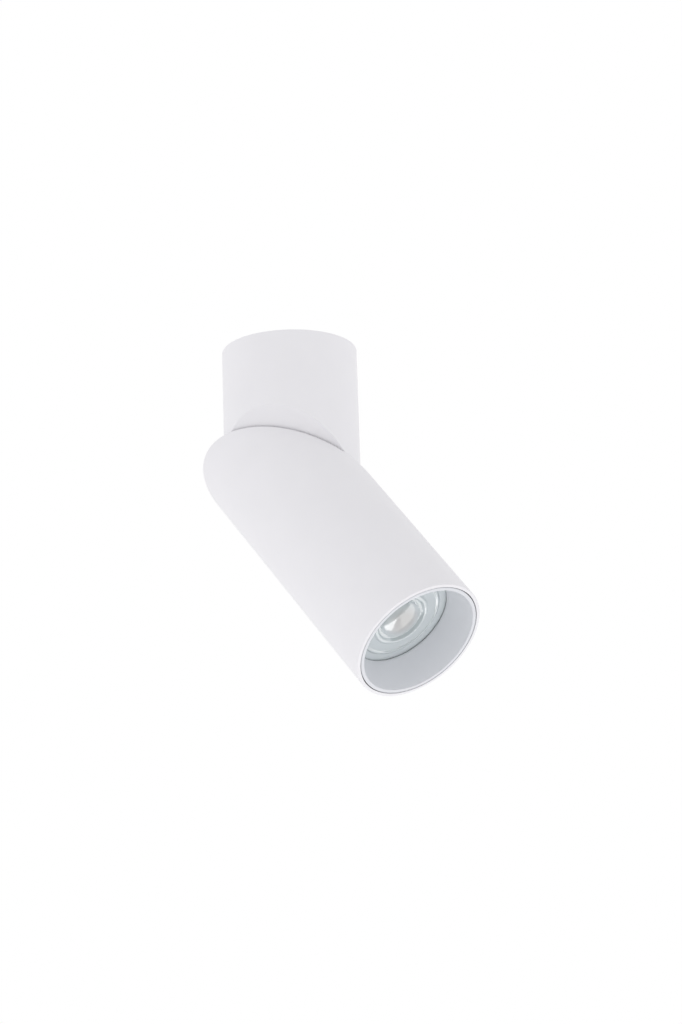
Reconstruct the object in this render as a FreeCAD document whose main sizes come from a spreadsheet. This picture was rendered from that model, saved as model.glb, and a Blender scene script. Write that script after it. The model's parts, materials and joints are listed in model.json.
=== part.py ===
import FreeCAD, Part
import math
import os
import re
import Sketcher

# Surface mounted ceiling spotlight: two equal tubes that meet at an oblique face and swivel on it.
#
# Frames, all in millimetres:
#   room    the centre of the ceiling face is the origin, +Z up, and the part hangs below it
#   base    the room frame turned about Z, so that the oblique face leans down towards +X
#   pivot   origin where the tubes' axes cross, +Z along the normal of the oblique face
#   mouth   origin in the middle of the head's mouth, +Z into the head along its axis

doc = FreeCAD.newDocument("ceiling_spotlight")

# ---------------------------------------------------------------- driving dimensions

SIZES = {
    # the lamp sets the width of both tubes
    "lamp_diameter": 49.6,
    "lamp_side_gap": 2.8,
    "housing_wall": 2.4,
    "mouth_step": 0.9,
    # the joint between the tubes
    "upper_length": 64.6,
    "mitre_angle": 45,
    "seam_gap": 0.8,
    "lean_azimuth": 69.4,
    "swivel_angle": -57.7,
    "edge_round": 0.4,
    "lip_round": 0.3,
    # the glare trim in the mouth
    "trim_gap": 0.4,
    "trim_lip": 1.5,
    "trim_lip_depth": 3,
    "trim_wall": 1.2,
    "recess_depth": 14.6,
    "trim_rear_lip": 0.9,
    "lens_cover": 1.7,
    "flange_inset": 0.3,
    "flange_side": 0.7,
    "ring_thickness": 2.4,
    "ring_clearance": 0.05,
    "seat_gap": 0.3,
    # the lamp
    "lamp_gap": 0.4,
    "lamp_length": 46.6,
    "lamp_rim_height": 4.5,
    "lamp_wall": 1.2,
    "lamp_bowl_depth": 33,
    "lamp_neck_diameter": 24,
    "lamp_cap_diameter": 20,
    "lens_thickness": 2.2,
    "lens_recess": 0.6,
    "lens_step_radius": 14.3,
    "lens_step_height": 2.4,
    "lens_groove_radius": 11.4,
    "lens_groove_depth": 1.2,
    "lens_dome_radius": 9.6,
    "lens_dome_height": 3.4,
    "board_radius": 10,
    "board_thickness": 1.6,
    "board_depth": 15,
    "emitter_radius": 4.5,
    "emitter_height": 1.4,
    "emitter_round": 1.1,
    "reflector_wall": 0.8,
    "reflector_inset": 0.1,
    "pin_spacing": 10,
    "pin_neck_diameter": 3,
    "pin_head_diameter": 5,
    "pin_length": 7,
    "pin_head_height": 2,
    # the lampholder and its bracket
    "holder_gap": 0.3,
    "holder_height": 16.2,
    "holder_length": 32,
    "holder_width": 19,
    "holder_face": 4.2,
    "chamber_depth": 3.2,
    "holder_twist": 30,
    "keyhole_clearance": 0.3,
    "holder_screw_spacing": 23,
    "holder_screw_sink": 9,
    "contact_thickness": 0.5,
    "contact_width": 4.4,
    "bracket_thickness": 1.2,
    "bracket_length": 47,
    "bracket_width": 14,
    "bracket_flange": 5,
    "post_spacing": 41,
    "post_diameter": 6.4,
    "post_tap_depth": 9,
    "wiring_space": 26.5,
    "lead_hole_offset": 3.6,
    # the pivot's parts
    "pivot_diameter": 10,
    "pivot_bore": 7,
    "pivot_clearance": 0.05,
    "pivot_length": 15.2,
    "pivot_head_flats": 17,
    "pivot_head_height": 3,
    "nut_flats": 14,
    "nut_height": 4,
    "friction_washer_diameter": 30,
    "slip_washer_diameter": 22,
    "slip_washer_thickness": 0.8,
    "pressure_washer_diameter": 20,
    "pressure_washer_thickness": 1.2,
    "spring_diameter": 18,
    "spring_thickness": 0.5,
    "spring_wave": 1.4,
    "stop_circle_radius": 24,
    "stop_pin_diameter": 2,
    "stop_pin_rise": 1.2,
    "stop_groove_depth": 1.4,
    "stop_groove_play": 0.3,
    "stop_range": 350,
    # the ceiling plate and what it carries
    "plate_web": 2.5,
    "plate_height": 8,
    "plate_rim": 2.5,
    "thread_clearance": 0.05,
    "ceiling_gap": 0.4,
    "lock_drop": 4.6,
    "lock_groove_depth": 1.2,
    "lock_groove_width": 3.4,
    "lock_screw_sink": 0.3,
    "slot_spacing": 38,
    "slot_width": 4.5,
    "slot_length": 9,
    "cable_hole_offset": 14,
    "cable_hole_diameter": 12,
    "grommet_bore": 8,
    "grommet_flange": 16,
    "grommet_flange_height": 1.5,
    "block_length": 25,
    "block_width": 17,
    "block_height": 13,
    "block_offset": 4,
    "pole_pitch": 8,
    "pole_row_spacing": 9,
    "wire_hole_diameter": 3.6,
    "wire_hole_drop": 5.5,
    "block_screw_sink": 4.5,
    "clamp_screw_diameter": 3.6,
    "clamp_shank_diameter": 2.9,
    "clamp_head_height": 2.2,
    "clamp_shank_length": 3.3,
    "clamp_screw_sink": 1,
    "earth_offset": 12.5,
    "earth_tag_thickness": 0.8,
    "earth_tag_diameter": 8.4,
    # screws and leads
    "small_thread": 3,
    "small_head_diameter": 5.5,
    "small_head_height": 1.9,
    "earth_thread": 4,
    "earth_head_diameter": 7,
    "earth_head_height": 2.6,
    "screw_clearance": 0.2,
    "plate_screw_grip": 2,
    "post_screw_grip": 6.3,
    "drive_depth": 1.1,
    "drive_width": 0.8,
    "lead_diameter": 3.2,
    "lead_bend_radius": 7.5,
    "lead_end_gap": 0.15,
    "lead_entry": 2,
    "lead_swing": 21,
    "lead_turn_gap": 3,
}

# ---------------------------------------------------------------- sizes that follow from them

DERIVED = {
    "lamp_radius": "lamp_diameter / 2",
    "bore_radius": "lamp_radius + lamp_side_gap",
    "outer_radius": "bore_radius + housing_wall",
    "mouth_radius": "bore_radius + mouth_step",
    "trim_radius": "mouth_radius - trim_gap",
    "throat_radius": "trim_radius - trim_lip",
    "waist_radius": "lamp_radius - lens_cover",
    "flange_radius": "trim_radius - flange_inset",
    "ring_center_radius": "mouth_radius - ring_clearance - ring_thickness / 2",
    "ring_floor_radius": "ring_center_radius - ring_thickness / 2",
    # heights above the mouth, from the front to the pivot
    "trim_rear": "recess_depth + trim_rear_lip",
    "ring_height": "trim_rear - flange_side - ring_thickness / 2",
    "flange_front": "ring_height - ring_thickness / 2 - flange_side",
    "seat_depth": "trim_rear + seat_gap",
    "lamp_front": "trim_rear + lamp_gap",
    "lens_front": "lamp_front + lens_recess",
    "lens_rear": "lens_front + lens_thickness",
    "board_front": "lens_rear + board_depth",
    "bowl_end": "lamp_front + lamp_bowl_depth",
    "lamp_end": "lamp_front + lamp_length",
    "pin_tip": "lamp_end + pin_length",
    "holder_front": "lamp_end + holder_gap",
    "chamber_front": "holder_front + holder_face",
    "chamber_rear": "chamber_front + chamber_depth",
    "holder_rear": "holder_front + holder_height",
    "bracket_rear": "holder_rear + bracket_thickness",
    "head_length": "bracket_rear + wiring_space",
    # the oblique faces
    "half_seam": "seam_gap / 2",
    "wall_inside": "half_seam + housing_wall",
    "seam_rise": "half_seam / cos(mitre_angle)",
    "mitre_rise": "outer_radius * tan(mitre_angle)",
    # the pivot's stack, as distances from the pivot along the normal
    "pivot_radius": "pivot_diameter / 2",
    "pivot_hole_radius": "pivot_radius + pivot_clearance",
    "slip_top": "wall_inside + slip_washer_thickness",
    "pressure_start": "slip_top + pivot_clearance",
    "spring_start": "pressure_start + pressure_washer_thickness",
    "spring_height": "spring_wave + spring_thickness",
    "nut_start": "spring_start + spring_height",
    "stop_groove_width": "stop_pin_diameter + 2 * stop_groove_play",
    # the ceiling plate
    "plate_radius": "bore_radius - thread_clearance",
    "plate_inner_radius": "plate_radius - plate_rim",
    "small_radius": "small_thread / 2",
    "small_hole_radius": "small_radius + screw_clearance",
    "small_tap_radius": "small_radius + thread_clearance",
    "earth_tap_radius": "earth_thread / 2 + thread_clearance",
}

WORD = re.compile(r"[a-z][a-z_]*[a-z]")


def qualified(text):
    """An expression with each named size written as its sheet's cell."""

    def name(found):
        word = found.group(0)
        if word in SIZES:
            return "Sizes." + word
        if word in DERIVED:
            return "Derived." + word
        return word

    return WORD.sub(name, text)


def fill_sheet(label, rows):
    sheet = doc.addObject("Spreadsheet::Sheet", label)
    for row, (name, content) in enumerate(rows, 1):
        sheet.set("A%d" % row, name)
        sheet.set("B%d" % row, content)
        sheet.setAlias("B%d" % row, name)
    return sheet


def local_name(text):
    """A formula of the second sheet: its own cells keep their bare names."""
    return "=" + qualified(text).replace("Derived.", "")


sizes = fill_sheet("Sizes", [(name, str(number)) for name, number in SIZES.items()])
derived = fill_sheet("Derived", [(name, local_name(text)) for name, text in DERIVED.items()])
doc.recompute()


def value(name):
    """The number behind a named size."""
    sheet = sizes if name in SIZES else derived
    return float(sheet.get(name))


def bind(item, path, text):
    item.setExpression(path, qualified(text))


# ---------------------------------------------------------------- frames

Z_AXIS = FreeCAD.Vector(0, 0, 1)
Y_AXIS = FreeCAD.Vector(0, 1, 0)


def moved(x, y, z):
    return FreeCAD.Placement(FreeCAD.Vector(x, y, z), FreeCAD.Rotation())


def turned(axis, degrees):
    return FreeCAD.Placement(FreeCAD.Vector(), FreeCAD.Rotation(axis, degrees))


ROOM = FreeCAD.Placement()
BASE = turned(Z_AXIS, value("lean_azimuth"))
PIVOT_FIXED = BASE * moved(0, 0, -value("upper_length")) * turned(Y_AXIS, value("mitre_angle"))
PIVOT_TURNING = PIVOT_FIXED * turned(Z_AXIS, value("swivel_angle"))
HEAD = PIVOT_TURNING * turned(Y_AXIS, -value("mitre_angle"))
MOUTH = HEAD * moved(0, 0, -value("head_length"))

# ---------------------------------------------------------------- sketch and feature helpers

NODES = []


def new_body(label, placement, several=False):
    """A body for one node; several allows a group of separate equal solids."""
    body = doc.addObject("PartDesign::Body", label)
    body.Label = label
    body.AllowCompound = several
    body.Placement = placement
    NODES.append(body)
    return body


def origin_item(body, role):
    return next(item for item in body.Origin.OriginFeatures if item.Role == role)


def new_sketch(body, name, role="XY_Plane", lift=None):
    """A sketch on one of the body's own planes, lifted along Z by a bound height."""
    sketch = body.newObject("Sketcher::SketchObject", name)
    sketch.AttachmentSupport = [(origin_item(body, role), "")]
    sketch.MapMode = "FlatFace"
    if lift is not None:
        bind(sketch, "AttachmentOffset.Base.z" if role == "XY_Plane" else "AttachmentOffset.Base.y", lift)
    return sketch


def pivot_sketch(body, name, pivot_height):
    """A sketch in the oblique plane through the pivot; its X runs down the slope."""
    sketch = new_sketch(body, name)
    sketch.AttachmentOffset = turned(Y_AXIS, value("mitre_angle"))
    bind(sketch, "AttachmentOffset.Rotation.Angle", "mitre_angle")
    bind(sketch, "AttachmentOffset.Base.z", pivot_height)
    return sketch


def present(sketch, text):
    """What an expression gives with the present sizes."""
    return float(sketch.evalExpression(qualified(text)))


def pin_point(sketch, item, point, x_text, y_text):
    """Hold a point of the sketch at bound distances from the origin."""
    for kind, text, axis in (("DistanceX", x_text, -2), ("DistanceY", y_text, -1)):
        if text == "0":
            sketch.addConstraint(Sketcher.Constraint("PointOnObject", item, point, axis))
        else:
            index = sketch.addConstraint(Sketcher.Constraint(kind, -1, 1, item, point, present(sketch, text)))
            bind(sketch, "Constraints[%d]" % index, text)


def add_circle(sketch, radius, x_text="0", y_text="0"):
    item = sketch.addGeometry(Part.Circle(FreeCAD.Vector(), Z_AXIS, 1), False)
    index = sketch.addConstraint(Sketcher.Constraint("Radius", item, 1.0))
    bind(sketch, "Constraints[%d]" % index, radius)
    pin_point(sketch, item, 3, x_text, y_text)


def add_bow(sketch, level, other):
    """An arc from the point level with its centre, where it runs upright, up and in to the other."""
    drop, rise = level.x - other.x, other.y - level.y
    radius = (drop**2 + rise**2) / (2 * drop)
    circle = Part.Circle(level - FreeCAD.Vector(radius, 0, 0), Z_AXIS, radius)
    item = sketch.addGeometry(Part.ArcOfCircle(circle, 0, math.asin(rise / radius)), False)
    sketch.addConstraint(Sketcher.Constraint("Horizontal", item, 3, item, 1))


def add_outline(sketch, corners, bows=None):
    """A closed outline through corners given as pairs of expressions.

    Its sides are straight, apart from those in bows: each such side's number has the number of the
    end corner that is level with the arc's centre.
    """
    bows = bows or {}
    count = len(corners)
    first = sketch.GeometryCount
    start = [FreeCAD.Vector(present(sketch, x_text), present(sketch, y_text), 0) for x_text, y_text in corners]
    ends = []
    for i in range(count):
        following = (i + 1) % count
        if i in bows:
            other = following if bows[i] == i else i
            add_bow(sketch, start[bows[i]], start[other])
            ends.append((1, 2) if bows[i] == i else (2, 1))
        else:
            sketch.addGeometry(Part.LineSegment(start[i], start[following]), False)
            ends.append((1, 2))
    for i in range(count):
        following = (i + 1) % count
        sketch.addConstraint(
            Sketcher.Constraint("Coincident", first + i, ends[i][1], first + following, ends[following][0])
        )
    for i, (x_text, y_text) in enumerate(corners):
        pin_point(sketch, first + i, ends[i][0], x_text, y_text)


def add_box(sketch, left, low, right, high):
    add_outline(sketch, [(left, low), (right, low), (right, high), (left, high)])


def add_hexagon(sketch, flats):
    """A hexagon about the origin, given by the distance across its flats."""
    corners = [
        ("%s / 2 / cos(30) * cos(%d)" % (flats, angle), "%s / 2 / cos(30) * sin(%d)" % (flats, angle))
        for angle in (15, 75, 135, 195, 255, 315)
    ]
    add_outline(sketch, corners)


def add_slot(sketch, name_length, name_width, x_text, x_start, along_x=True):
    """A round-ended slot centred on the X axis: x_text is bound, x_start is where it is first drawn."""
    length = value(name_length) / 2 - value(name_width) / 2
    center = FreeCAD.Vector(x_start, 0, 0)
    radius = value(name_width) / 2
    turn = 0 if along_x else math.pi / 2
    direction = FreeCAD.Vector(math.cos(turn), math.sin(turn), 0)
    side = FreeCAD.Vector(-math.sin(turn), math.cos(turn), 0)
    ends = [center + direction * length, center - direction * length]
    arcs = [
        Part.ArcOfCircle(Part.Circle(ends[0], Z_AXIS, radius), turn - math.pi / 2, turn + math.pi / 2),
        Part.ArcOfCircle(Part.Circle(ends[1], Z_AXIS, radius), turn + math.pi / 2, turn + 3 * math.pi / 2),
    ]
    first = sketch.GeometryCount
    sketch.addGeometry(arcs[0], False)
    sketch.addGeometry(Part.LineSegment(ends[0] + side * radius, ends[1] + side * radius), False)
    sketch.addGeometry(arcs[1], False)
    sketch.addGeometry(Part.LineSegment(ends[1] - side * radius, ends[0] - side * radius), False)
    for i in range(4):
        following = first + (i + 1) % 4
        sketch.addConstraint(Sketcher.Constraint("Tangent", first + i, 2, following, 1))
    sketch.addConstraint(Sketcher.Constraint("Equal", first, first + 2))
    index = sketch.addConstraint(Sketcher.Constraint("Radius", first, radius))
    bind(sketch, "Constraints[%d]" % index, name_width + " / 2")
    half = "(%s - %s) / 2" % (name_length, name_width)
    if along_x:
        pin_point(sketch, first, 3, x_text + " + " + half, "0")
        pin_point(sketch, first + 2, 3, x_text + " - " + half, "0")
    else:
        pin_point(sketch, first, 3, x_text, half)
        pin_point(sketch, first + 2, 3, x_text, "-" + half)


def pad(body, name, sketch, length=None, down=False, both=False, up_to_first=False):
    feature = body.newObject("PartDesign::Pad", name)
    feature.Profile = sketch
    feature.Reversed = down
    if both:
        feature.SideType = "Symmetric"
    if up_to_first:
        doc.recompute()
        feature.Type = "UpToFirst"
    else:
        bind(feature, "Length", length)
    body.Tip = feature
    return feature


def pocket(body, name, sketch, length=None, up=False, both=False):
    """Cut along -Z of the sketch, or up along +Z; without a length the cut goes right through."""
    feature = body.newObject("PartDesign::Pocket", name)
    feature.Profile = sketch
    feature.Reversed = up
    if both:
        feature.SideType = "Symmetric"
    if length is None:
        feature.Type = "ThroughAll"
    else:
        bind(feature, "Length", length)
    body.Tip = feature
    return feature


def revolve(body, name, sketch, cut=False, sweep=None):
    """Turn an outline about its sketch's V axis; a sweep is centred on the sketch's plane."""
    feature = body.newObject("PartDesign::Groove" if cut else "PartDesign::Revolution", name)
    feature.Profile = sketch
    feature.ReferenceAxis = (sketch, ["V_Axis"])
    feature.Angle = 360
    if sweep is not None:
        feature.Midplane = True
        bind(feature, "Angle", sweep)
    body.Tip = feature
    return feature


def repeat_round(body, name, features, count):
    pattern = body.newObject("PartDesign::PolarPattern", name)
    pattern.Originals = features
    pattern.Axis = (origin_item(body, "Z_Axis"), [""])
    pattern.Angle = 360
    pattern.Occurrences = count
    body.Tip = pattern
    return pattern


def round_edges(body, name, radius, wanted):
    """Fillet the edges of the body's tip for which wanted(edge) is true."""
    doc.recompute()
    base = body.Tip
    names = ["Edge%d" % i for i, edge in enumerate(base.Shape.Edges, 1) if wanted(edge)]
    feature = body.newObject("PartDesign::Fillet", name)
    feature.Base = (base, names)
    bind(feature, "Radius", radius)
    body.Tip = feature
    return feature


def ring_body(label, placement, inner, outer, low, high):
    """A flat ring about Z with bound radii and heights."""
    body = new_body(label, placement)
    sketch = new_sketch(body, label + "_section", "XZ_Plane")
    add_box(sketch, inner, low, outer, high)
    revolve(body, label + "_turned", sketch)
    return body


# ---------------------------------------------------------------- the two housings


def is_flat_end(face, height):
    """A flat face square to Z at the given height."""
    normal = face.normalAt(0, 0)
    return abs(abs(normal.z) - 1) < 1e-6 and abs(face.CenterOfMass.z - height) < 1e-4


def shell_from(body, name, open_height):
    """Hollow the tip to the housing's wall, leaving the flat end at open_height open."""
    doc.recompute()
    base = body.Tip
    faces = ["Face%d" % i for i, face in enumerate(base.Shape.Faces, 1) if is_flat_end(face, open_height)]
    feature = body.newObject("PartDesign::Thickness", name)
    feature.Base = (base, faces)
    feature.Reversed = True
    bind(feature, "Value", "housing_wall")
    body.Tip = feature
    return feature


def is_outer_rim(edge):
    """A closed edge all of whose points lie on the tube's outside."""
    points = edge.discretize(8)
    outer = value("outer_radius")
    return edge.isClosed() and all(abs(math.hypot(p.x, p.y) - outer) < 1e-4 for p in points)


def oblique_cut(body, name, pivot_height, keep_above):
    """Remove what lies beyond the oblique plane, half a seam away from the pivot."""
    sketch = new_sketch(body, name + "_outline", "XZ_Plane")
    side = "2 * outer_radius"
    rise = "2 * outer_radius * tan(mitre_angle)"
    shift = "+ seam_rise" if keep_above else "- seam_rise"
    beyond = "- 2 * mitre_rise - outer_radius" if keep_above else "+ 2 * mitre_rise + outer_radius"
    add_outline(
        sketch,
        [
            ("-" + side, "%s %s + %s" % (pivot_height, shift, rise)),
            (side, "%s %s - %s" % (pivot_height, shift, rise)),
            (side, "%s %s" % (pivot_height, beyond)),
            ("-" + side, "%s %s + %s" % (pivot_height, beyond, rise)),
        ],
    )
    return pocket(body, name, sketch, both=True)


def make_upper_housing():
    body = new_body("upper_housing", BASE)
    tube = new_sketch(body, "tube_circle", lift="-ceiling_gap")
    add_circle(tube, "outer_radius")
    pad(body, "tube", tube, "upper_length + mitre_rise", down=True)
    oblique_cut(body, "oblique_face", "-upper_length", keep_above=True)
    shell_from(body, "hollow", -value("ceiling_gap"))
    hole = pivot_sketch(body, "pivot_hole_circle", "-upper_length")
    add_circle(hole, "pivot_hole_radius")
    pocket(body, "pivot_hole", hole, "4 * wall_inside", both=True)
    # The stop groove runs almost all the way round, and leaves a land that the pin meets.
    groove = new_sketch(body, "stop_groove_section", "XZ_Plane")
    groove.AttachmentOffset = turned(Z_AXIS, -value("mitre_angle"))
    bind(groove, "AttachmentOffset.Rotation.Angle", "-mitre_angle")
    bind(groove, "AttachmentOffset.Base.y", "-upper_length")
    add_box(
        groove,
        "stop_circle_radius - stop_groove_width / 2",
        "half_seam - housing_wall",
        "stop_circle_radius + stop_groove_width / 2",
        "half_seam + stop_groove_depth",
    )
    pin_turn = "2 * asin((stop_pin_diameter / 2 + stop_groove_play) / stop_circle_radius)"
    revolve(body, "stop_groove", groove, cut=True, sweep="stop_range * 1 deg + " + pin_turn)
    lock = new_sketch(body, "lock_hole_circle", "YZ_Plane")
    add_circle(lock, "small_tap_radius", "0", "-lock_drop")
    pocket(body, "lock_hole", lock, "2 * outer_radius", up=True)
    round_edges(body, "soft_rims", "edge_round", is_outer_rim)
    return body


def make_head_housing():
    body = new_body("head_housing", MOUTH)
    tube = new_sketch(body, "tube_circle")
    add_circle(tube, "outer_radius")
    pad(body, "tube", tube, "head_length + mitre_rise")
    oblique_cut(body, "oblique_face", "head_length", keep_above=False)
    shell_from(body, "hollow", 0.0)
    seat = new_sketch(body, "trim_seat_circle")
    add_circle(seat, "mouth_radius")
    pocket(body, "trim_seat", seat, "seat_depth", up=True)
    posts = new_sketch(body, "post_circles", lift="bracket_rear")
    for side in ("-", ""):
        add_circle(posts, "post_diameter / 2", "0", side + "post_spacing / 2")
    pad(body, "posts", posts, up_to_first=True)
    taps = new_sketch(body, "post_tap_circles", lift="bracket_rear")
    for side in ("-", ""):
        add_circle(taps, "small_tap_radius", "0", side + "post_spacing / 2")
    pocket(body, "post_taps", taps, "post_tap_depth", up=True)
    hole = pivot_sketch(body, "pivot_hole_circle", "head_length")
    add_circle(hole, "pivot_hole_radius")
    pocket(body, "pivot_hole", hole, "4 * wall_inside", both=True)
    pin_hole = pivot_sketch(body, "stop_pin_circle", "head_length")
    add_circle(pin_hole, "stop_pin_diameter / 2", "stop_circle_radius")
    pocket(body, "stop_pin_hole", pin_hole, "4 * wall_inside", both=True)
    round_edges(body, "soft_rims", "edge_round", is_outer_rim)
    return body


# ---------------------------------------------------------------- the pivot


def make_hex_piece(label, placement, flats, low, high, bore):
    """A hexagonal piece about Z with chamfered corners and a bore."""
    body = new_body(label, placement)
    outline = new_sketch(body, label + "_flats", lift=low)
    add_hexagon(outline, flats)
    pad(body, label + "_prism", outline, "%s - (%s)" % (high, low))
    corner = flats + " / 2 / cos(30)"
    bevel = new_sketch(body, label + "_bevel", "XZ_Plane")
    add_outline(
        bevel,
        [
            (flats + " / 2", low),
            (corner + " + 1", low),
            (corner + " + 1", "%s + (%s + 1 - %s / 2) * tan(30)" % (low, corner, flats)),
        ],
    )
    revolve(body, label + "_corners", bevel, cut=True)
    if bore is not None:
        hole = new_sketch(body, label + "_bore_circle")
        add_circle(hole, bore)
        pocket(body, label + "_bore", hole, both=True)
    return body


def make_pivot_bolt():
    body = make_hex_piece(
        "pivot_bolt", PIVOT_TURNING, "pivot_head_flats", "-wall_inside - pivot_head_height", "-wall_inside", None
    )
    shank = new_sketch(body, "shank_circle", lift="-wall_inside")
    add_circle(shank, "pivot_radius")
    pad(body, "shank", shank, "pivot_length")
    bore = new_sketch(body, "lead_bore_circle")
    add_circle(bore, "pivot_bore / 2")
    pocket(body, "lead_bore", bore, both=True)
    return body


def make_wave_spring():
    """A washer whose ring rises and falls three times round."""
    inner = value("pivot_hole_radius")
    outer = value("spring_diameter") / 2
    half_wave = value("spring_wave") / 2
    waves = 3
    steps = 12 * waves
    base = value("spring_start") + half_wave

    def wavy_edge(radius):
        points = []
        for i in range(steps):
            angle = 2 * math.pi * i / steps
            height = base + half_wave * math.cos(waves * angle)
            points.append(FreeCAD.Vector(radius * math.cos(angle), radius * math.sin(angle), height))
        curve = Part.BSplineCurve()
        curve.interpolate(points, True)
        return curve.toShape()

    face = Part.makeRuledSurface(wavy_edge(inner), wavy_edge(outer))
    node = doc.addObject("Part::Feature", "wave_spring")
    node.Shape = face.extrude(Z_AXIS * value("spring_thickness"))
    node.Placement = PIVOT_TURNING
    NODES.append(node)
    return node


def make_stop_pin():
    body = new_body("stop_pin", PIVOT_TURNING)
    outline = new_sketch(body, "pin_circle", lift="-wall_inside")
    add_circle(outline, "stop_pin_diameter / 2", "stop_circle_radius")
    pad(body, "pin", outline, "housing_wall + seam_gap + stop_pin_rise")
    return body


def make_pivot():
    ring_body("slip_washer", PIVOT_FIXED, "pivot_hole_radius", "slip_washer_diameter / 2", "wall_inside", "slip_top")
    ring_body(
        "friction_washer",
        PIVOT_TURNING,
        "pivot_hole_radius",
        "friction_washer_diameter / 2",
        "-half_seam",
        "half_seam - pivot_clearance",
    )
    ring_body(
        "pressure_washer",
        PIVOT_TURNING,
        "pivot_hole_radius",
        "pressure_washer_diameter / 2",
        "pressure_start",
        "spring_start",
    )
    make_pivot_bolt()
    make_wave_spring()
    make_hex_piece("pivot_nut", PIVOT_TURNING, "nut_flats", "nut_start", "nut_start + nut_height", "pivot_radius")
    make_stop_pin()


# ---------------------------------------------------------------- the glare trim


def make_glare_baffle():
    """The white ring and cone in the mouth, turned from one piece."""
    body = new_body("glare_baffle", MOUTH)
    section = new_sketch(body, "baffle_section", "XZ_Plane")
    slope = "(throat_radius - waist_radius) / recess_depth"
    add_outline(
        section,
        [
            ("throat_radius", "0"),
            ("trim_radius", "0"),
            ("trim_radius", "trim_lip_depth"),
            ("throat_radius + trim_wall - trim_lip_depth * %s" % slope, "trim_lip_depth"),
            ("throat_radius + trim_wall - flange_front * %s" % slope, "flange_front"),
            ("flange_radius", "flange_front"),
            ("flange_radius", "flange_front + flange_side"),
            ("ring_floor_radius", "flange_front + flange_side"),
            ("ring_floor_radius", "trim_rear - flange_side"),
            ("flange_radius", "trim_rear - flange_side"),
            ("flange_radius", "trim_rear"),
            ("waist_radius", "trim_rear"),
            ("waist_radius", "recess_depth"),
        ],
    )
    revolve(body, "baffle", section)
    front = 0.0
    round_edges(body, "soft_lip", "lip_round", lambda edge: is_circle_at(edge, front))
    return body


def is_circle_at(edge, height):
    """A closed edge that lies square to Z at a height."""
    return edge.isClosed() and edge.BoundBox.ZLength < 1e-6 and abs(edge.BoundBox.ZMin - height) < 1e-6


def make_baffle_ring():
    body = new_body("baffle_ring", MOUTH)
    section = new_sketch(body, "ring_section", "XZ_Plane")
    add_circle(section, "ring_thickness / 2", "ring_center_radius", "ring_height")
    revolve(body, "ring", section)
    return body


# ---------------------------------------------------------------- the lamp


def make_lamp_shell():
    """The lamp's outer bowl: a straight rim, then a wall that curves in to a closed neck."""
    body = new_body("lamp_shell", MOUTH)
    section = new_sketch(body, "shell_section", "XZ_Plane")
    rim_top = "lamp_front + lamp_rim_height"
    inner_rim = "lamp_radius - lamp_wall"
    inner_end = "bowl_end - lamp_wall"
    add_outline(
        section,
        [
            ("0", "bowl_end"),
            ("lamp_neck_diameter / 2", "bowl_end"),
            ("lamp_radius", rim_top),
            ("lamp_radius", "lamp_front"),
            (inner_rim, "lamp_front"),
            (inner_rim, rim_top),
            ("lamp_neck_diameter / 2 - lamp_wall", inner_end),
            ("0", inner_end),
        ],
        bows={1: 2, 5: 5},
    )
    revolve(body, "shell", section)
    return body


def make_lamp_cap():
    """The cap behind the bowl, waisted to the size that enters the holder's field."""
    body = new_body("lamp_cap", MOUTH)
    section = new_sketch(body, "cap_section", "XZ_Plane")
    add_outline(
        section,
        [
            ("0", "bowl_end"),
            ("lamp_neck_diameter / 2", "bowl_end"),
            ("lamp_neck_diameter / 2", "bowl_end + lamp_wall"),
            ("lamp_cap_diameter / 2", "bowl_end + 3 * lamp_wall"),
            ("lamp_cap_diameter / 2", "lamp_end"),
            ("0", "lamp_end"),
        ],
    )
    revolve(body, "cap", section)
    return body


def make_lamp_pins():
    """Two headed pins that lock behind the holder's keyholes."""
    body = new_body("lamp_pins", MOUTH, several=True)
    section = new_sketch(body, "pin_section", "XZ_Plane")
    bind(section, "AttachmentOffset.Base.x", "pin_spacing / 2")
    add_outline(
        section,
        [
            ("0", "lamp_end"),
            ("pin_neck_diameter / 2", "lamp_end"),
            ("pin_neck_diameter / 2", "pin_tip - pin_head_height"),
            ("pin_head_diameter / 2", "pin_tip - pin_head_height"),
            ("pin_head_diameter / 2", "pin_tip - pin_head_height / 4"),
            ("pin_head_diameter / 2 - pin_head_height / 4", "pin_tip"),
            ("0", "pin_tip"),
        ],
    )
    pin = revolve(body, "pin", section)
    repeat_round(body, "pin_pair", [pin], 2)
    return body


def make_lamp_reflector():
    """A thin cone from the board to the back of the lens."""
    body = new_body("lamp_reflector", MOUTH)
    section = new_sketch(body, "reflector_section", "XZ_Plane")
    rim = "lamp_radius - lamp_wall - reflector_inset"
    add_outline(
        section,
        [
            ("board_radius", "board_front"),
            (rim + " - reflector_wall", "lens_rear"),
            (rim, "lens_rear"),
            ("board_radius + reflector_wall", "board_front"),
        ],
    )
    revolve(body, "reflector", section)
    return body


def make_led_board():
    body = new_body("led_board", MOUTH)
    outline = new_sketch(body, "board_circle", lift="board_front")
    add_circle(outline, "board_radius + reflector_wall")
    pad(body, "board", outline, "board_thickness")
    return body


def make_led_emitter():
    """The phosphor dome in the middle of the board."""
    body = new_body("led_emitter", MOUTH)
    outline = new_sketch(body, "emitter_circle", lift="board_front")
    add_circle(outline, "emitter_radius")
    pad(body, "emitter", outline, "emitter_height", down=True)
    low = value("board_front") - value("emitter_height")
    round_edges(body, "emitter_crown", "emitter_round", lambda edge: is_circle_at(edge, low))
    return body


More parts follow.
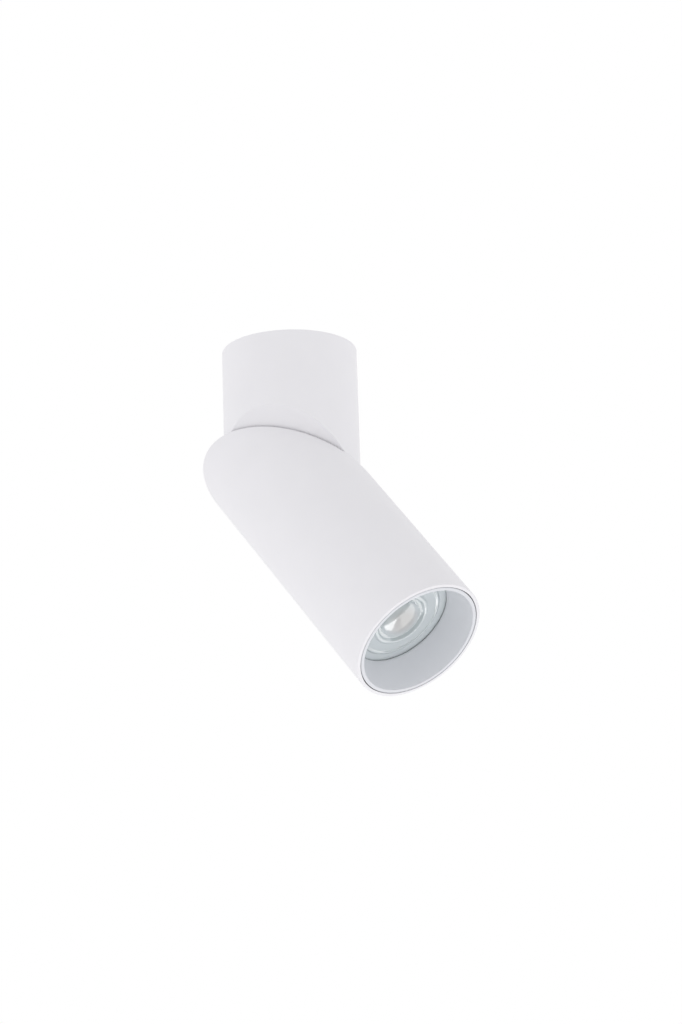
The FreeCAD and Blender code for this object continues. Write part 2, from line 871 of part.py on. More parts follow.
def make_lamp_lens():
    """The clear lens: a flat ring, a raised step, a groove and a dome in the middle."""
    body = new_body("lamp_lens", MOUTH)
    section = new_sketch(body, "lens_section", "XZ_Plane")
    rim = "lamp_radius - lamp_wall"
    add_outline(
        section,
        [
            ("0", "lens_rear"),
            (rim, "lens_rear"),
            (rim, "lens_front"),
            ("lens_step_radius", "lens_front"),
            ("lens_step_radius - lens_step_height / 4", "lens_front - lens_step_height"),
            ("lens_groove_radius", "lens_front - lens_step_height"),
            ("lens_groove_radius - lens_groove_depth / 2", "lens_front - lens_step_height + lens_groove_depth"),
            ("0", "lens_front - lens_step_height + lens_groove_depth"),
        ],
    )
    revolve(body, "plate", section)
    dome = body.newObject("PartDesign::AdditiveEllipsoid", "dome")
    dome.AttachmentSupport = [(origin_item(body, "XY_Plane"), "")]
    dome.MapMode = "FlatFace"
    bind(dome, "AttachmentOffset.Base.z", "lens_front - lens_step_height + lens_groove_depth")
    bind(dome, "Radius1", "lens_dome_height")
    bind(dome, "Radius2", "lens_dome_radius")
    bind(dome, "Radius3", "lens_dome_radius")
    dome.Angle1 = -90
    dome.Angle2 = 0
    dome.Angle3 = 360
    body.Tip = dome
    return body


# ---------------------------------------------------------------- the lampholder


def turned_section(body, name, middle_angle):
    """A section plane through the Z axis, turned to an angle about it."""
    sketch = new_sketch(body, name, "XZ_Plane")
    sketch.AttachmentOffset = turned(Y_AXIS, 1)
    bind(sketch, "AttachmentOffset.Rotation.Angle", middle_angle)
    return sketch


def make_lampholder():
    """A ceramic block with two keyholes: the pins enter, turn and are caught behind the face."""
    body = new_body("lampholder", MOUTH)
    outline = new_sketch(body, "holder_outline", lift="holder_front")
    add_slot(outline, "holder_length", "holder_width", "0", 0, along_x=False)
    pad(body, "holder", outline, "holder_height")
    circle = "pin_spacing / 2"
    neck = "(pin_neck_diameter / 2 + keyhole_clearance)"
    head = "(pin_head_diameter / 2 + keyhole_clearance)"
    middle = "-holder_twist / 2"
    entry = new_sketch(body, "entry_circle", lift="holder_front")
    add_circle(entry, head, circle + " * cos(holder_twist)", "-" + circle + " * sin(holder_twist)")
    entry_cut = pocket(body, "entry", entry, "holder_face + chamber_depth", up=True)
    slot = turned_section(body, "neck_slot_section", middle)
    add_box(slot, circle + " - " + neck, "holder_front", circle + " + " + neck, "chamber_front")
    slot_cut = revolve(
        body, "neck_slot", slot, cut=True, sweep="holder_twist * 1 deg + 2 * asin(%s / (%s))" % (neck, circle)
    )
    chamber = turned_section(body, "chamber_section", middle)
    add_box(chamber, circle + " - " + head, "chamber_front", circle + " + " + head, "chamber_rear")
    chamber_cut = revolve(
        body, "chamber", chamber, cut=True, sweep="holder_twist * 1 deg + 2 * asin(%s / (%s))" % (head, circle)
    )
    repeat_round(body, "keyhole_pair", [entry_cut, slot_cut, chamber_cut], 2)
    holes = new_sketch(body, "screw_circles", lift="holder_front")
    sinks = new_sketch(body, "screw_sink_circles", lift="holder_front")
    for side in ("-", ""):
        add_circle(holes, "small_hole_radius", "0", side + "holder_screw_spacing / 2")
        add_circle(sinks, "small_head_diameter / 2 + screw_clearance", "0", side + "holder_screw_spacing / 2")
    pocket(body, "screw_holes", holes, "holder_height", up=True)
    pocket(body, "screw_sinks", sinks, "holder_screw_sink", up=True)
    lead = new_sketch(body, "lead_socket_circle", lift="holder_rear")
    add_circle(lead, "lead_diameter / 2 + screw_clearance", "-lead_hole_offset")
    pocket(body, "lead_socket", lead, "bracket_thickness")
    return body


def make_holder_contacts():
    """Two sprung contact leaves on the floor of the keyhole chambers."""
    body = new_body("holder_contacts", MOUTH, several=True)
    section = turned_section(body, "contact_section", "-holder_twist / 2")
    add_box(
        section,
        "pin_spacing / 2 - contact_width / 2",
        "chamber_rear - contact_thickness",
        "pin_spacing / 2 + contact_width / 2",
        "chamber_rear",
    )
    leaf = revolve(body, "contact", section, sweep="2 * holder_twist")
    repeat_round(body, "contact_pair", [leaf], 2)
    return body


def make_holder_bracket():
    """A folded steel strap: a flat web with two stiffening flanges."""
    body = new_body("holder_bracket", MOUTH)
    section = new_sketch(body, "fold_section", "XZ_Plane")
    half = "bracket_width / 2"
    inside = "bracket_width / 2 - bracket_thickness"
    top = "bracket_rear + bracket_flange"
    add_outline(
        section,
        [
            ("-" + half, "holder_rear"),
            (half, "holder_rear"),
            (half, top),
            (inside, top),
            (inside, "bracket_rear"),
            ("-(" + inside + ")", "bracket_rear"),
            ("-(" + inside + ")", top),
            ("-" + half, top),
        ],
    )
    pad(body, "fold", section, "bracket_length", both=True)
    front = value("holder_rear")
    half_width = value("bracket_width") / 2

    def is_outer_bend(edge):
        box = edge.BoundBox
        along = box.YLength > 1 and box.XLength < 1e-6
        return along and abs(box.ZMin - front) < 1e-6 and abs(abs(box.XMin) - half_width) < 1e-6

    round_edges(body, "bends", "bracket_thickness", is_outer_bend)
    holes = new_sketch(body, "bracket_holes", lift="holder_rear")
    for side in ("-", ""):
        add_circle(holes, "small_hole_radius", "0", side + "post_spacing / 2")
        add_circle(holes, "small_tap_radius", "0", side + "holder_screw_spacing / 2")
    add_circle(holes, "lead_diameter / 2 + screw_clearance", "-lead_hole_offset")
    pocket(body, "holes", holes, "2 * bracket_thickness", up=True)
    return body


# ---------------------------------------------------------------- screws


def make_screws(label, placement, spots, thread, head, head_height, low, length, up):
    """Slotted pan-head screws along Z at equal spots, heads at low, shanks up or down from there."""
    body = new_body(label, placement, several=len(spots) > 1)
    heads = new_sketch(body, label + "_heads", lift=low)
    shanks = new_sketch(body, label + "_shanks", lift=low)
    drives = new_sketch(body, label + "_drives", lift="%s %s %s" % (low, "-" if up else "+", head_height))
    for x_text, y_text in spots:
        add_circle(heads, head + " / 2", x_text, y_text)
        add_circle(shanks, thread + " / 2", x_text, y_text)
        left = "%s - %s / 2 + drive_width" % (x_text, head)
        right = "%s + %s / 2 - drive_width" % (x_text, head)
        add_box(drives, left, y_text + " - drive_width / 2", right, y_text + " + drive_width / 2")
    pad(body, label + "_head", heads, head_height, down=up)
    pad(body, label + "_shank", shanks, length, down=not up)
    pocket(body, label + "_drive", drives, "drive_depth", up=up)
    return body


def make_lock_screw():
    """A headless screw through the housing's wall into the groove of the ceiling plate."""
    body = new_body("lock_screw", BASE)
    outline = new_sketch(body, "screw_circle", "YZ_Plane")
    bind(outline, "AttachmentOffset.Base.z", "plate_radius - lock_groove_depth")
    add_circle(outline, "small_thread / 2", "0", "-lock_drop")
    pad(body, "screw", outline, "outer_radius - lock_screw_sink - plate_radius + lock_groove_depth")
    socket = new_sketch(body, "socket_outline", "YZ_Plane")
    bind(socket, "AttachmentOffset.Base.z", "outer_radius - lock_screw_sink")
    corners = [
        ("small_thread / 4 * cos(%d)" % angle, "small_thread / 4 * sin(%d) - lock_drop" % angle)
        for angle in (15, 75, 135, 195, 255, 315)
    ]
    add_outline(socket, corners)
    pocket(body, "socket", socket, "drive_depth")
    return body


# ---------------------------------------------------------------- the ceiling plate


def make_ceiling_plate():
    """A turned cup: its web takes the ceiling screws and its rim the housing."""
    body = new_body("ceiling_plate", ROOM)
    section = new_sketch(body, "plate_section", "XZ_Plane")
    add_outline(
        section,
        [
            ("0", "0"),
            ("plate_radius", "0"),
            ("plate_radius", "-lock_drop + lock_groove_width / 2"),
            ("plate_radius - lock_groove_depth", "-lock_drop + lock_groove_width / 2"),
            ("plate_radius - lock_groove_depth", "-lock_drop - lock_groove_width / 2"),
            ("plate_radius", "-lock_drop - lock_groove_width / 2"),
            ("plate_radius", "-plate_height"),
            ("plate_inner_radius", "-plate_height"),
            ("plate_inner_radius", "-plate_web"),
            ("0", "-plate_web"),
        ],
    )
    revolve(body, "plate", section)
    slots = new_sketch(body, "slot_outlines")
    for side, start in (("-", -value("slot_spacing") / 2), ("", value("slot_spacing") / 2)):
        add_slot(slots, "slot_length", "slot_width", side + "slot_spacing / 2", start)
    pocket(body, "ceiling_slots", slots, "2 * plate_web")
    holes = new_sketch(body, "plate_holes")
    add_circle(holes, "cable_hole_diameter / 2", "0", "-cable_hole_offset")
    add_circle(holes, "small_tap_radius", "pole_pitch / 2", "block_offset")
    add_circle(holes, "earth_tap_radius", "-earth_offset", "-earth_offset")
    pocket(body, "holes", holes, "2 * plate_web")
    return body


def make_cable_grommet():
    body = new_body("cable_grommet", ROOM)
    section = new_sketch(body, "grommet_section", "XZ_Plane")
    section.AttachmentOffset = moved(0, 0, 1)
    bind(section, "AttachmentOffset.Base.z", "cable_hole_offset")
    add_outline(
        section,
        [
            ("grommet_bore / 2", "-ceiling_gap"),
            ("cable_hole_diameter / 2", "-ceiling_gap"),
            ("cable_hole_diameter / 2", "-plate_web"),
            ("grommet_flange / 2", "-plate_web"),
            ("grommet_flange / 2", "-plate_web - grommet_flange_height"),
            ("grommet_bore / 2", "-plate_web - grommet_flange_height"),
        ],
    )
    revolve(body, "grommet", section)
    return body


def pole_spots():
    """The clamp screws' places: two rows of three."""
    return [
        ("%d * pole_pitch" % pole, "block_offset %s pole_row_spacing / 2" % row)
        for pole in (-1, 0, 1)
        for row in ("-", "+")
    ]


def make_terminal_block():
    body = new_body("terminal_block", ROOM)
    outline = new_sketch(body, "block_outline", lift="-plate_web")
    low = "block_offset - block_width / 2"
    high = "block_offset + block_width / 2"
    add_box(outline, "-block_length / 2", low, "block_length / 2", high)
    pad(body, "block", outline, "block_height", down=True)
    wells = new_sketch(body, "well_circles", lift="-plate_web - block_height")
    for x_text, y_text in pole_spots():
        add_circle(wells, "clamp_screw_diameter / 2 + screw_clearance", x_text, y_text)
    pocket(body, "wells", wells, "clamp_screw_sink + clamp_head_height + clamp_shank_length", up=True)
    wires = new_sketch(body, "wire_holes", "XZ_Plane")
    bind(wires, "AttachmentOffset.Base.z", "-(block_offset + block_width / 2)")
    for pole in (-1, 0, 1):
        add_circle(wires, "wire_hole_diameter / 2", "%d * pole_pitch" % pole, "-plate_web - wire_hole_drop")
    pocket(body, "wire_ways", wires, "block_width", up=True)
    sink = new_sketch(body, "block_screw_sink", lift="-plate_web - block_height")
    add_circle(sink, "small_head_diameter / 2 + screw_clearance", "pole_pitch / 2", "block_offset")
    pocket(body, "screw_sink", sink, "block_screw_sink", up=True)
    hole = new_sketch(body, "block_screw_hole", lift="-plate_web - block_height")
    add_circle(hole, "small_hole_radius", "pole_pitch / 2", "block_offset")
    pocket(body, "screw_hole", hole, "block_height", up=True)
    return body


def make_earth_tag():
    """A ring tag with a short crimp barrel under the earth screw."""
    body = new_body("earth_tag", ROOM)
    outline = new_sketch(body, "tag_circles", lift="-plate_web")
    add_circle(outline, "earth_tag_diameter / 2", "-earth_offset", "-earth_offset")
    add_circle(outline, "earth_tap_radius + screw_clearance", "-earth_offset", "-earth_offset")
    pad(body, "tag", outline, "earth_tag_thickness", down=True)
    return body


# ---------------------------------------------------------------- leads


def soft_wire(points, radius):
    """Straight runs joined by tangent arcs, each as large as the runs beside it allow."""
    edges = []
    start = points[0]
    for before, corner, after in zip(points, points[1:], points[2:]):
        into = (corner - before).normalize()
        out = (after - corner).normalize()
        turn = into.getAngle(out)
        room = 0.45 * min((corner - before).Length, (after - corner).Length)
        reach = min(radius * math.tan(turn / 2), room)
        bend = reach / math.tan(turn / 2)
        enter = corner - into * reach
        leave = corner + out * reach
        bulge = (out - into).normalize()
        middle = corner + bulge * (bend / math.cos(turn / 2) - bend)
        edges.append(Part.LineSegment(start, enter).toShape())
        edges.append(Part.Arc(enter, middle, leave).toShape())
        print("lead bend radius %.1f" % bend)
        start = leave
    edges.append(Part.LineSegment(start, points[-1]).toShape())
    return Part.Wire(edges)


def make_lead(label, points):
    wire = soft_wire(points, value("lead_bend_radius"))
    direction = (points[1] - points[0]).normalize()
    circle = Part.Wire(Part.makeCircle(value("lead_diameter") / 2, points[0], direction))
    node = doc.addObject("Part::Feature", label)
    node.Shape = wire.makePipeShell([circle], True, False)
    NODES.append(node)
    return node


def make_leads():
    """The inner lead in two pieces that meet on the pivot's axis, where the head turns."""
    normal = PIVOT_FIXED.Rotation.multVec(Z_AXIS)
    pivot = PIVOT_FIXED.Base
    block_side = value("block_offset") + value("block_width") / 2
    swing = value("lead_swing")
    drop = value("plate_web") + value("wire_hole_drop")
    upper = [
        pivot + normal * value("lead_end_gap"),
        pivot + normal * (value("pivot_length") + value("lead_turn_gap")),
        FreeCAD.Vector(0, swing, -value("upper_length") / 2),
        FreeCAD.Vector(0, swing, -drop),
        FreeCAD.Vector(0, block_side - value("lead_entry"), -drop),
    ]
    make_lead("upper_lead", upper)
    side = -value("lead_hole_offset")
    start = value("holder_rear") - value("bracket_thickness")
    lower = [
        MOUTH.multVec(FreeCAD.Vector(side, 0, start)),
        MOUTH.multVec(FreeCAD.Vector(side, 0, start + value("wiring_space") / 3)),
        pivot - normal * value("wiring_space") / 2,
        pivot - normal * value("lead_end_gap"),
    ]
    make_lead("lower_lead", lower)


# ---------------------------------------------------------------- build

make_ceiling_plate()
make_cable_grommet()
make_terminal_block()
make_screws(
    "terminal_screws",
    ROOM,
    pole_spots(),
    "clamp_shank_diameter",
    "clamp_screw_diameter",
    "clamp_head_height",
    "-plate_web - block_height + clamp_screw_sink + clamp_head_height",
    "clamp_shank_length",
    up=True,
)
make_screws(
    "block_screw",
    ROOM,
    [("pole_pitch / 2", "block_offset")],
    "small_thread",
    "small_head_diameter",
    "small_head_height",
    "-plate_web - block_height + block_screw_sink",
    "block_height - block_screw_sink + plate_screw_grip",
    up=True,
)
make_earth_tag()
make_screws(
    "earth_screw",
    ROOM,
    [("-earth_offset", "-earth_offset")],
    "earth_thread",
    "earth_head_diameter",
    "earth_head_height",
    "-plate_web - earth_tag_thickness",
    "earth_tag_thickness + plate_screw_grip",
    up=True,
)
make_upper_housing()
make_lock_screw()
make_head_housing()
make_pivot()
make_holder_bracket()
make_screws(
    "bracket_screws",
    MOUTH,
    [("0", "-post_spacing / 2"), ("0", "post_spacing / 2")],
    "small_thread",
    "small_head_diameter",
    "small_head_height",
    "holder_rear",
    "bracket_thickness + post_screw_grip",
    up=True,
)
make_lampholder()
make_holder_contacts()
make_screws(
    "holder_screws",
    MOUTH,
    [("0", "-holder_screw_spacing / 2"), ("0", "holder_screw_spacing / 2")],
    "small_thread",
    "small_head_diameter",
    "small_head_height",
    "holder_front + holder_screw_sink",
    "holder_height - holder_screw_sink + 2 * bracket_thickness",
    up=True,
)
make_glare_baffle()
make_baffle_ring()
make_lamp_shell()
make_lamp_cap()
make_lamp_pins()
make_lamp_reflector()
make_led_board()
make_led_emitter()
make_lamp_lens()
make_leads()

doc.recompute()

# ---------------------------------------------------------------- checks and files

for item in doc.Objects:
    if "Invalid" in item.State or "Error" in item.State:
        raise RuntimeError("%s did not compute: %s" % (item.Label, item.State))

os.makedirs("parts", exist_ok=True)
for node in NODES:
    if node.Shape.isNull() or not node.Shape.isValid():
        raise RuntimeError("%s has no valid shape" % node.Label)
    node.Shape.exportStep("parts/%s.step" % node.Label)
    box = node.Shape.BoundBox
    print(
        "%-18s solids %d  volume %9.1f  z %7.1f to %7.1f"
        % (node.Label, len(node.Shape.Solids), node.Shape.Volume, box.ZMin, box.ZMax)
    )
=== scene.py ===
import json
import math

import bpy
from mathutils import Matrix, Vector


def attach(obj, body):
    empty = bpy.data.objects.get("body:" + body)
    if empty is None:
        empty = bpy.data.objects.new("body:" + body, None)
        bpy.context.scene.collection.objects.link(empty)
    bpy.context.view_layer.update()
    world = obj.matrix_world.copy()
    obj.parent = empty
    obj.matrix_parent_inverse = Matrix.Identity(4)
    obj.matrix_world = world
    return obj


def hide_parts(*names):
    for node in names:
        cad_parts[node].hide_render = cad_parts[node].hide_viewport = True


MM = 0.001

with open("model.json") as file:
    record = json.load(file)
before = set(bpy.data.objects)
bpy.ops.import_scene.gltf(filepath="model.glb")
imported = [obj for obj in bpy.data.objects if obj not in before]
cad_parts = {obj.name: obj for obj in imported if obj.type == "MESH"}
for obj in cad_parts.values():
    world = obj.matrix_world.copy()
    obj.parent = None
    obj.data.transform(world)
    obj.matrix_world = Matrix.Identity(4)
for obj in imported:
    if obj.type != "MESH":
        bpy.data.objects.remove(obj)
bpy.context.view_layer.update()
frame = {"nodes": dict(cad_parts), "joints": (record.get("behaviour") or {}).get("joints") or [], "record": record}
nodes = frame["nodes"]
scene = bpy.context.scene

# The lamp turns about the head's axis, so its joint gives the middle of the mouth and the way out of it.
twist = next(joint for joint in frame["joints"] if joint["name"] == "lamp_twist")
MOUTH = Vector(twist["pos_m"])
OUTWARD = Vector(twist["axis"]).normalized()
ACROSS = OUTWARD.cross(Vector((0, 0, 1))).normalized()
ALONG = OUTWARD.cross(ACROSS)


# ---------------------------------------------------------------- camera

# The camera stands in front of the spotlight and below it, and looks up through a long lens.
AIM = Vector((0, 0, -60 * MM))
DISTANCE = 1345.2 * MM
ELEVATION = math.radians(17.443)
FOCAL_LENGTH = 107.33
NEAREST = 0.05
FARTHEST = 30

# Small turns away from the line to AIM
YAW = math.radians(0.887)
PITCH = math.radians(0.627)
ROLL = math.radians(-1.563)


def turn(axis, angle):
    return Matrix.Rotation(angle, 3, axis)


def add_camera():
    """Set up the camera from which the tubes' outlines fall where the photograph has them."""
    sight = Vector((0, math.cos(ELEVATION), math.sin(ELEVATION)))
    right = Vector((1, 0, 0))
    axes = Matrix((right, right.cross(sight), sight)).transposed()
    axes = axes @ turn("Y", YAW) @ turn("X", PITCH) @ turn("Z", ROLL)
    right, up, forward = (axes.col[i] for i in range(3))
    pose = Matrix((right, up, -forward)).transposed().to_4x4()
    pose.translation = AIM - DISTANCE * sight
    data = bpy.data.cameras.new("camera")
    data.lens = FOCAL_LENGTH
    data.clip_start = NEAREST
    data.clip_end = FARTHEST
    camera = bpy.data.objects.new("camera", data)
    camera.matrix_world = pose
    scene.collection.objects.link(camera)
    scene.camera = camera


# ---------------------------------------------------------------- node trees

# Nearly all of a noise texture's values lie between these two.
NOISE_LOW, NOISE_HIGH = 0.3, 0.7

# A wave texture's rings lie this far apart, in metres, at a scale of 1.
WAVE_LENGTH = math.tau / 20

# Numbers of the sockets of a colour mix, two of whose inputs share a name
MIX_FACTOR, MIX_FIRST, MIX_SECOND, MIX_RESULT = 0, 6, 7, 2


class Tree:
    """A short way to write a node tree."""

    def __init__(self, tree):
        self.tree = tree

    def add(self, kind, inputs=None, **settings):
        """Add a node; each of its inputs, by name or number, gets a value or another node's output."""
        node = self.tree.nodes.new(kind)
        for key, setting in settings.items():
            setattr(node, key, setting)
        for key, given in (inputs or {}).items():
            if isinstance(given, bpy.types.NodeSocket):
                self.tree.links.new(given, node.inputs[key])
            else:
                node.inputs[key].default_value = given
        return node

    def stretch(self, source, given, wanted, **settings):
        """The source's values with the span from the given pair of limits mapped onto the wanted one."""
        inputs = {"Value": source, "From Min": given[0], "From Max": given[1]}
        inputs.update({"To Min": wanted[0], "To Max": wanted[1]})
        return self.add("ShaderNodeMapRange", inputs, **settings).outputs["Result"]


class Surface(Tree):
    """The node tree of one material, around its shader."""

    def __init__(self, name, **values):
        """Values are constants of the shader's sockets, with _ for each space in a socket's name."""
        self.material = bpy.data.materials.new(name)
        self.material.use_nodes = True
        super().__init__(self.material.node_tree)
        self.shader = self.tree.nodes["Principled BSDF"]
        self.coordinates = self.add("ShaderNodeTexCoord").outputs["Object"]
        for key, number in values.items():
            self.shader.inputs[key.replace("_", " ")].default_value = number

    def feed(self, socket, source):
        self.tree.links.new(source, self.shader.inputs[socket])

    def noise(self, size, detail=2):
        """Noise whose grain is about size metres."""
        settings = {"Vector": self.coordinates, "Scale": 1 / size, "Detail": detail}
        return self.add("ShaderNodeTexNoise", settings).outputs["Fac"]

    def spread(self, source, low, high):
        """Noise stretched onto low to high."""
        return self.stretch(source, (NOISE_LOW, NOISE_HIGH), (low, high))

    def mix(self, factor, first, second):
        """The first colour where factor is 0 and the second where it is 1."""
        settings = {MIX_FACTOR: factor, MIX_FIRST: (*first, 1), MIX_SECOND: (*second, 1)}
        return self.add("ShaderNodeMix", settings, data_type="RGBA").outputs[MIX_RESULT]

    def bump(self, height, strength, depth):
        settings = {"Height": height, "Strength": strength, "Distance": depth}
        self.feed("Normal", self.add("ShaderNodeBump", settings).outputs["Normal"])


def speckled(name, color, tone=0.03, patch=12 * MM, rough=(0.4, 0.5), grain=0.4 * MM,
             bump=0.2, depth=0.03 * MM, **values):
    """A surface whose colour drifts a little, with grain in its roughness and its height."""
    made = Surface(name, **values)
    darker = [channel * (1 - tone) for channel in color]
    made.feed("Base Color", made.mix(made.spread(made.noise(patch), 0, 1), color, darker))
    fine = made.noise(grain, detail=3)
    made.feed("Roughness", made.spread(fine, *rough))
    made.bump(fine, bump, depth)
    return made.material


def turned_metal(name, color, rough=(0.25, 0.4), spacing=1.5708 * MM, patch=3 * MM,
                 waver=0.6, bump=0.15, depth=0.01 * MM):
    """Metal with the shallow rings of a lathe about the object's own Z axis."""
    made = Surface(name, Metallic=1.0, Base_Color=(*color, 1))
    settings = {"Vector": made.coordinates, "Scale": WAVE_LENGTH / spacing, "Distortion": waver}
    rings = made.add("ShaderNodeTexWave", settings, wave_type="RINGS", rings_direction="Z")
    made.feed("Roughness", made.spread(made.noise(patch), *rough))
    made.bump(rings.outputs["Fac"], bump, depth)
    return made.material


def clear_moulding(name, middle, middle_radius, outer, outer_radius, **values):
    """A part-clear moulding whose colour changes with the distance from the mouth's axis."""
    made = Surface(name, **values)
    offset = made.add("ShaderNodeVectorMath", {0: made.coordinates, 1: MOUTH}, operation="SUBTRACT")
    aside = made.add("ShaderNodeVectorMath", {0: offset.outputs[0], 1: OUTWARD}, operation="CROSS_PRODUCT")
    radius = made.add("ShaderNodeVectorMath", {0: aside.outputs[0]}, operation="LENGTH").outputs["Value"]
    share = made.stretch(radius, (middle_radius, outer_radius), (0, 1), interpolation_type="SMOOTHSTEP")
    made.feed("Base Color", made.mix(share, middle, outer))
    return made.material


# ---------------------------------------------------------------- materials


def make_materials():
    """One material for each of the record's material slots."""
    return {
        "housing_white": speckled("white_powder_coat", (0.86, 0.855, 0.87), tone=0.012, rough=(0.40, 0.50),
                                  grain=0.35 * MM, bump=0.25, depth=0.012 * MM, Specular_IOR_Level=0.4),
        # Partly painted shade: the baffle is white like the housing, but its colour is set darker and bluer to
        # stand in for the shade inside the mouth's cavity.
        "trim_white": speckled("white_trim_painted_shade", (0.745, 0.76, 0.785), tone=0.012, rough=(0.45, 0.55),
                               grain=0.3 * MM, depth=0.01 * MM, Specular_IOR_Level=0.35),
        "plate_metal": turned_metal("turned_aluminium", (0.72, 0.72, 0.73)),
        "seal_rubber": speckled("black_rubber", (0.03, 0.03, 0.03), tone=0.3, rough=(0.6, 0.8),
                                grain=0.2 * MM),
        "block_nylon": speckled("block_nylon", (0.72, 0.70, 0.63)),
        "washer_nylon": speckled("washer_nylon", (0.05, 0.05, 0.055)),
        "plated_steel": speckled("plated_steel", (0.62, 0.62, 0.63), tone=0.08, patch=2 * MM,
                                 rough=(0.22, 0.36), Metallic=1.0),
        "plated_brass": speckled("plated_brass", (0.72, 0.55, 0.25), tone=0.08, patch=2 * MM,
                                 rough=(0.2, 0.34), Metallic=1.0),
        "black_steel": speckled("black_steel", (0.03, 0.03, 0.032), rough=(0.3, 0.45), Metallic=0.6),
        "ceramic": speckled("ceramic", (0.78, 0.75, 0.67), rough=(0.5, 0.7)),
        "lead_sleeve": speckled("lead_sleeve", (0.72, 0.70, 0.64), tone=0.15, patch=0.6 * MM,
                                rough=(0.6, 0.8)),
        "lamp_body": speckled("lamp_body", (0.74, 0.76, 0.76), rough=(0.25, 0.35)),
        "reflector": speckled("lamp_reflector", (0.90, 0.91, 0.91), rough=(0.35, 0.45), Metallic=1.0),
        "board": speckled("led_board", (0.80, 0.81, 0.80)),
        "phosphor": speckled("phosphor", (0.85, 0.70, 0.30), rough=(0.3, 0.4)),
        # Warm over the emitter and faintly green outside it; what doesn't pass through it scatters.
        "lens": clear_moulding("lamp_lens", (0.48, 0.475, 0.46), 3 * MM, (0.64, 0.70, 0.71), 10 * MM,
                               Transmission_Weight=0.30, Roughness=0.08, IOR=1.49),
    }


def dress_nodes(materials):
    """Give each solid the material of its slot."""
    slot_of = {part["node"]: part["material_slot"] for part in frame["record"]["subparts"]}
    for name, piece in nodes.items():
        piece.data.materials.clear()
        piece.data.materials.append(materials[slot_of[name]])


# ---------------------------------------------------------------- the lamp's lens

DOME_RADIUS = 9.5 * MM
DOME_HEIGHT = 3.2 * MM
DOME_STEPS = 20
GROOVE_DEPTH = 3.5 * MM
RIM_DEPTH = 4.0 * MM

# (radius, depth behind the lens's foremost plane) in millimetres, from the groove round the dome to
# the flat rim: the groove's floor, a raised ring, a sloping band and a low ridge
RELIEF = (
    (10.0, 3.5), (10.7, 3.5),
    (11.5, 2.2), (12.7, 2.2),
    (13.4, 3.0), (17.9, 3.8),
    (18.4, 3.4), (19.1, 3.4), (19.7, 4.0),
)

CORNER_REACH = 0.35 * MM
CORNER_STEPS = 4
# Two bends on one short side stay apart, because each takes at most this share of it.
LARGEST_SHARE = 0.45

AROUND = 128
SHARP_EDGE = math.radians(40)


def extent(name):
    """A round node's front and rear, as depths behind the mouth, and its radius."""
    spots = [vertex.co - MOUTH for vertex in nodes[name].data.vertices]
    depths = [-spot.dot(OUTWARD) for spot in spots]
    radius = max((spot - OUTWARD * spot.dot(OUTWARD)).length for spot in spots)
    return min(depths), max(depths), radius


def soften(points):
    """The same outline with each corner between its ends bent round."""
    bent = [points[0]]
    for before, corner, after in zip(points, points[1:], points[2:]):
        ends = []
        for other in (before, after):
            side = other - corner
            ends.append(corner + side * min(CORNER_REACH / side.length, LARGEST_SHARE))
        for step in range(CORNER_STEPS + 1):
            share = step / CORNER_STEPS
            first = ends[0].lerp(corner, share)
            bent.append(first.lerp(corner.lerp(ends[1], share), share))
    return bent + [points[-1]]


def turned_points(outline):
    """The points of a turned mesh, and for each (radius, depth) of its outline the ring of their numbers."""
    verts = []
    rings = []
    for radius, depth in outline:
        center = MOUTH - OUTWARD * depth
        if radius == 0:
            rings.append([len(verts)])
            verts.append(center)
            continue
        rings.append(range(len(verts), len(verts) + AROUND))
        for i in range(AROUND):
            angle = math.tau * i / AROUND
            verts.append(center + radius * (math.cos(angle) * ACROSS + math.sin(angle) * ALONG))
    return verts, rings


def turned_faces(rings):
    """Faces between each ring and the next, which are triangles where a ring is one point on the axis."""
    faces = []
    for ring, other in zip(rings, rings[1:]):
        for i in range(AROUND):
            j = (i + 1) % AROUND
            if len(ring) == 1:
                faces.append((ring[0], other[j], other[i]))
            elif len(other) == 1:
                faces.append((ring[i], ring[j], other[0]))
            else:
                faces.append((ring[i], ring[j], other[j], other[i]))
    return faces


def turned(name, outline):
    """A piece turned about the mouth's axis from an outline that starts and ends on the axis."""
    verts, rings = turned_points(outline)
    faces = turned_faces(rings)
    mesh = bpy.data.meshes.new(name)
    mesh.from_pydata(verts, [], faces)
    mesh.polygons.foreach_set("use_smooth", [True] * len(faces))
    mesh.set_sharp_from_angle(angle=SHARP_EDGE)
    piece = bpy.data.objects.new(name, mesh)
    scene.collection.objects.link(piece)
    return piece


def add_lens(material):
    """The clear front: a dome in a groove, a raised ring, a sloping band with a ridge, and a flat rim."""
    front, rear, radius = extent("lamp_lens")
    groove = front + GROOVE_DEPTH
    dome = []
    for step in range(DOME_STEPS):
        angle = math.pi / 2 * step / DOME_STEPS
        dome.append((DOME_RADIUS * math.sin(angle), groove - DOME_HEIGHT * math.cos(angle)))
    corners = [(DOME_RADIUS, groove)]
    corners += [(reach * MM, front + depth * MM) for reach, depth in RELIEF]
    corners += [(radius, front + RIM_DEPTH), (radius, rear), (0, rear)]
    relief = soften([Vector(corner) for corner in corners])
    lens = turned("ringed_lens", dome + [tuple(point) for point in relief])
    lens.data.materials.append(material)
    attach(lens, "lamp")
    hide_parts("lamp_lens")


# ---------------------------------------------------------------- stage and light

FLOOR_DROP = 2.3
FLOOR_SIDE = 3.6

# The world's light grows from LEAST to MOST towards LIT_SIDE, and by up to FLANKS to the left and right.
LIT_SIDE = Vector((-0.55, -0.15, -0.80)).normalized()
LEAST, MOST = 0.74, 0.93
FLANKS = 0.25
LIGHT_COLOR = (0.985, 0.98, 1, 1)
BACKDROP_COLOR = (1, 1, 1, 1)

# The place, side in metres and power in watts of each lamp
LAMPS = {
    "low_lamp": ((0.55, -0.55, -1.25), 0.9, 1.5),
    "glint_lamp": ((0.24, 0.12, -1.09), 0.65, 1.3),
}


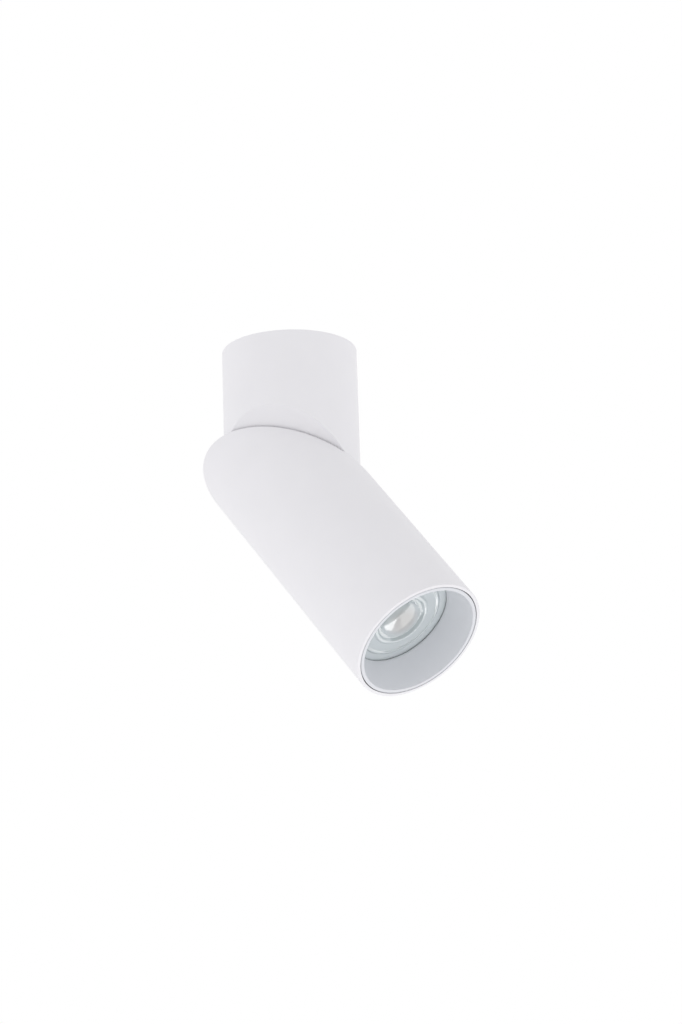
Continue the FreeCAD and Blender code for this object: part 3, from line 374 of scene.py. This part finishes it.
def add_floor():
    half = FLOOR_SIDE / 2
    corners = [(-half, -half), (half, -half), (half, half), (-half, half)]
    mesh = bpy.data.meshes.new("floor")
    mesh.from_pydata([(x, y, -FLOOR_DROP) for x, y in corners], [], [(0, 1, 2, 3)])
    pale = speckled("pale_floor", (0.90, 0.90, 0.90), tone=0.02, patch=0.3, rough=(0.6, 0.7), grain=2 * MM)
    mesh.materials.append(pale)
    floor = bpy.data.objects.new("floor", mesh)
    scene.collection.objects.link(floor)


def light_level(sky):
    """The strength of the world's light in each direction."""
    direction = sky.add("ShaderNodeTexCoord").outputs["Generated"]
    side = sky.add("ShaderNodeVectorMath", {0: direction, 1: LIT_SIDE}, operation="DOT_PRODUCT")
    level = sky.stretch(side.outputs["Value"], (-1, 1), (LEAST, MOST))
    x = sky.add("ShaderNodeSeparateXYZ", {0: direction}).outputs["X"]
    square = sky.add("ShaderNodeMath", {0: x, 1: x}, operation="MULTIPLY").outputs[0]
    return sky.add("ShaderNodeMath", {0: square, 1: FLANKS, 2: level}, operation="MULTIPLY_ADD").outputs[0]


def sees_backdrop(sky):
    """1 for the rays that show the backdrop itself, and 0 for those that gather light."""
    path = sky.add("ShaderNodeLightPath").outputs
    seen = path["Is Camera Ray"]
    for other in ("Is Glossy Ray", "Is Transmission Ray"):
        seen = sky.add("ShaderNodeMath", {0: seen, 1: path[other]}, operation="MAXIMUM").outputs[0]
    return seen


def add_world():
    """Even white light, a little stronger from below left and from both flanks, before a white backdrop."""
    world = bpy.data.worlds.new("studio")
    world.use_nodes = True
    world.node_tree.nodes.clear()
    scene.world = world
    sky = Tree(world.node_tree)
    lit = sky.add("ShaderNodeBackground", {"Color": LIGHT_COLOR, "Strength": light_level(sky)})
    shown = sky.add("ShaderNodeBackground", {"Color": BACKDROP_COLOR, "Strength": 1})
    shaders = {0: sees_backdrop(sky), 1: lit.outputs[0], 2: shown.outputs[0]}
    choice = sky.add("ShaderNodeMixShader", shaders)
    sky.add("ShaderNodeOutputWorld", {"Surface": choice.outputs[0]})


def add_lamp(name, place, side, power):
    """A large soft lamp that faces the spotlight."""
    data = bpy.data.lights.new(name, "AREA")
    data.size = side
    data.energy = power
    lamp = bpy.data.objects.new(name, data)
    lamp.location = place
    lamp.rotation_euler = (AIM - Vector(place)).to_track_quat("-Z", "Y").to_euler()
    lamp.visible_camera = False
    scene.collection.objects.link(lamp)


# ---------------------------------------------------------------- put it together

add_camera()
materials = make_materials()
dress_nodes(materials)
add_lens(materials["lens"])
add_floor()
add_world()
for name, (place, side, power) in LAMPS.items():
    add_lamp(name, place, side, power)

scene.view_settings.view_transform = "Standard"
